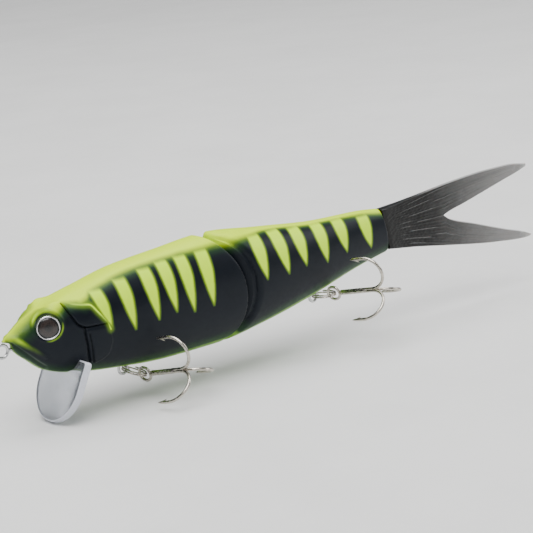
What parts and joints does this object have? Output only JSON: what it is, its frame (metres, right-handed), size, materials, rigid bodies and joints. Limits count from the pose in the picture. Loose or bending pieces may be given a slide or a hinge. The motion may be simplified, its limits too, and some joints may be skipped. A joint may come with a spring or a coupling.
{
  "type": "swimbait",
  "caption": "Jointed hard swimbait with a clear diving lip, wire line tie, treble hooks on split rings and a soft forked tail.",
  "frame": {"origin": "centre of the line-tie ring at the nose", "axes": "+X from the nose to the tail, +Z towards the back, left flank on -Y"},
  "size_m": [0.2322, 0.0403, 0.0502],
  "materials": {
    "body_paint": "airbrushed chartreuse over black under clear coat",
    "eye_ring_silver": "silver foil under clear coat",
    "eye_resin": "domed glossy resin",
    "clear_plate": "polished clear polycarbonate",
    "stainless_wire": "drawn wire",
    "black_nickel": "bright nickel plate",
    "smoke_soft_plastic": "smoky translucent soft plastic",
    "peg_plastic": "moulded",
    "lead": "dull cast"
  },
  "bodies": {
    "front_section": {"front_shell_left": "body_paint", "front_shell_right": "body_paint", "diving_lip": "clear_plate", "eye_ring_left": "eye_ring_silver", "eye_ring_right": "eye_ring_silver", "eye_lens_left": "eye_resin", "eye_lens_right": "eye_resin", "line_tie": "stainless_wire", "front_hook_hanger": "stainless_wire", "hinge_eye_upper": "stainless_wire", "hinge_eye_lower": "stainless_wire", "front_ballast": "lead"},
    "rear_section": {"rear_shell_left": "body_paint", "rear_shell_right": "body_paint", "hinge_pin": "stainless_wire", "rear_hook_hanger": "stainless_wire", "rear_ballast": "lead", "tail_peg": "peg_plastic", "tail_root": "smoke_soft_plastic"},
    "tail": {"tail_blade": "smoke_soft_plastic"},
    "front_ring": {"front_split_ring": "black_nickel"},
    "front_hook": {"front_treble_hook": "black_nickel"},
    "rear_ring": {"rear_split_ring": "black_nickel"},
    "rear_hook": {"rear_treble_hook": "black_nickel"}
  },
  "joints": [
    {"name": "body_hinge", "type": "hinge", "parent": "front_section", "child": "rear_section", "pos_m": [0.088, 0, 0], "axis": [0, 0, 1], "range_deg": [-14, 14]},
    {"name": "tail_flex", "type": "hinge", "parent": "rear_section", "child": "tail", "pos_m": [0.1685, 0, 0.008], "axis": [0, 0, 1], "range_deg": [-20, 20], "stiffness_Nm_per_rad": 0.003},
    {"name": "front_ring_swing", "type": "hinge", "parent": "front_section", "child": "front_ring", "pos_m": [0.0435, 0, -0.01605], "axis": [0, 1, 0], "range_deg": [-5, 60]},
    {"name": "front_hook_swing", "type": "hinge", "parent": "front_ring", "child": "front_hook", "pos_m": [0.05013, -0.00288, -0.01922], "axis": [-0.9322, -0.2938, -0.2111], "range_deg": [-75, 0]},
    {"name": "rear_ring_swing", "type": "hinge", "parent": "rear_section", "child": "rear_ring", "pos_m": [0.124, 0, -0.00915], "axis": [0, 1, 0], "range_deg": [-5, 60]},
    {"name": "rear_hook_swing", "type": "hinge", "parent": "rear_ring", "child": "rear_hook", "pos_m": [0.1314, -0.00274, -0.00942], "axis": [-0.9085, -0.3459, -0.2345], "range_deg": [-75, 0]}
  ]
}
